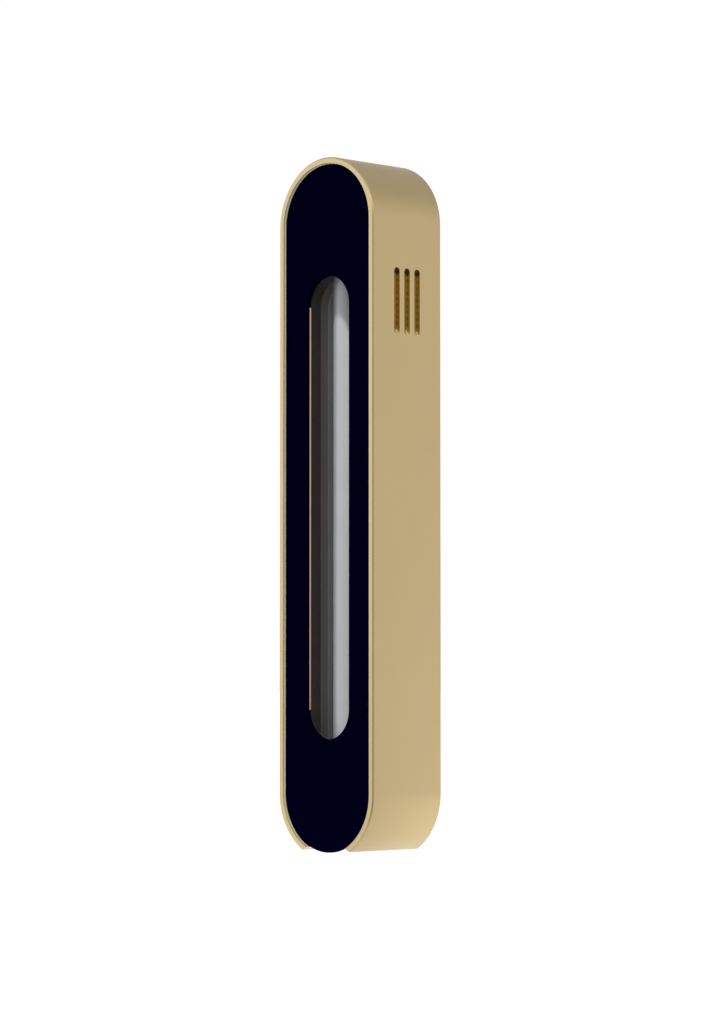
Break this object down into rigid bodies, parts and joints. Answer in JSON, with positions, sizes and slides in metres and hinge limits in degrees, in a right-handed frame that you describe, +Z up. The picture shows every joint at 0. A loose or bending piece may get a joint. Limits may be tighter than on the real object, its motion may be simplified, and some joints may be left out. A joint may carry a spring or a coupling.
{
  "type": "powered skin scrubber",
  "caption": "Pill-shaped handheld skin scrubber: gold band, flat navy front with a long window over a steel roller, side vents, open foot with a charging socket.",
  "frame": {"origin": "under the middle of the handle, level with the lowest point of the front and back panels", "axes": "+Z up along the handle, the navy front with its window faces -Y, the vents are on the +X side"},
  "size_m": [0.034, 0.0252, 0.1789],
  "materials": {
    "housing_gold": "satin anodised champagne gold",
    "panel_navy": "matt navy",
    "trim_rose": "bright cut rose gold",
    "steel_polished": "polished",
    "steel_plain": "plain",
    "liner_dark": "semi-gloss dark grey",
    "plastic_black": "matt black",
    "plastic_white": "natural acetal",
    "bearing_bronze": "sintered bronze",
    "seal_rubber": "matt",
    "screen_brass": "satin",
    "magnet_dark": "ferrite",
    "motor_copper": "wound core",
    "cell_wrap": "foil wrap",
    "board_green": "solder mask",
    "foam_grey": "foam",
    "light_lens": "translucent"
  },
  "bodies": {
    "body": {"housing_band": "housing_gold", "vent_screen": "screen_brass", "front_panel": "panel_navy", "window_trim": "trim_rose", "back_panel": "panel_navy", "front_gasket": "seal_rubber", "back_gasket": "seal_rubber", "chassis": "plastic_black", "base_cap": "plastic_black", "charging_port": "steel_plain", "charging_board": "board_green", "roller_trough": "liner_dark", "spindle_seal": "seal_rubber", "upper_bush": "bearing_bronze", "lower_bush": "bearing_bronze", "upper_bearing_block": "plastic_black", "motor_bracket": "steel_plain", "motor_can": "steel_plain", "motor_magnets": "magnet_dark", "motor_end_cap": "plastic_white", "battery": "cell_wrap", "battery_pad": "foam_grey", "main_board": "board_green", "power_switch": "steel_plain", "status_light": "light_lens", "board_screws": "steel_plain", "bracket_screws": "steel_plain", "bearing_screws": "steel_plain", "motor_screws": "steel_plain"},
    "roller": {"roller_sleeve": "steel_polished", "lower_roller_hub": "plastic_white", "upper_roller_hub": "plastic_white", "roller_spindle": "steel_plain", "roller_gear": "plastic_white"},
    "motor_rotor": {"motor_armature": "motor_copper", "motor_shaft": "steel_plain", "motor_pinion": "bearing_bronze"},
    "power_button": {"power_button": "housing_gold", "switch_plunger": "plastic_black"}
  },
  "joints": [
    {"name": "roller_spin", "type": "hinge", "parent": "body", "child": "roller", "pos_m": [0, -0.0036, 0.09], "axis": [0, 0, 1], "continuous": true},
    {"name": "motor_spin", "type": "hinge", "parent": "body", "child": "motor_rotor", "pos_m": [0, 0.0044, 0.0135], "axis": [0, 0, 1], "continuous": true},
    {"name": "power_button_press", "type": "slide", "parent": "body", "child": "power_button", "axis": [0, -1, 0], "range_m": [0, 0.0004], "stiffness_N_per_m": 1200, "springref_m": -0.0005}
  ],
  "couplings": [
    {"joint": "motor_spin", "follows": "roller_spin", "ratio": -1.9091}
  ]
}
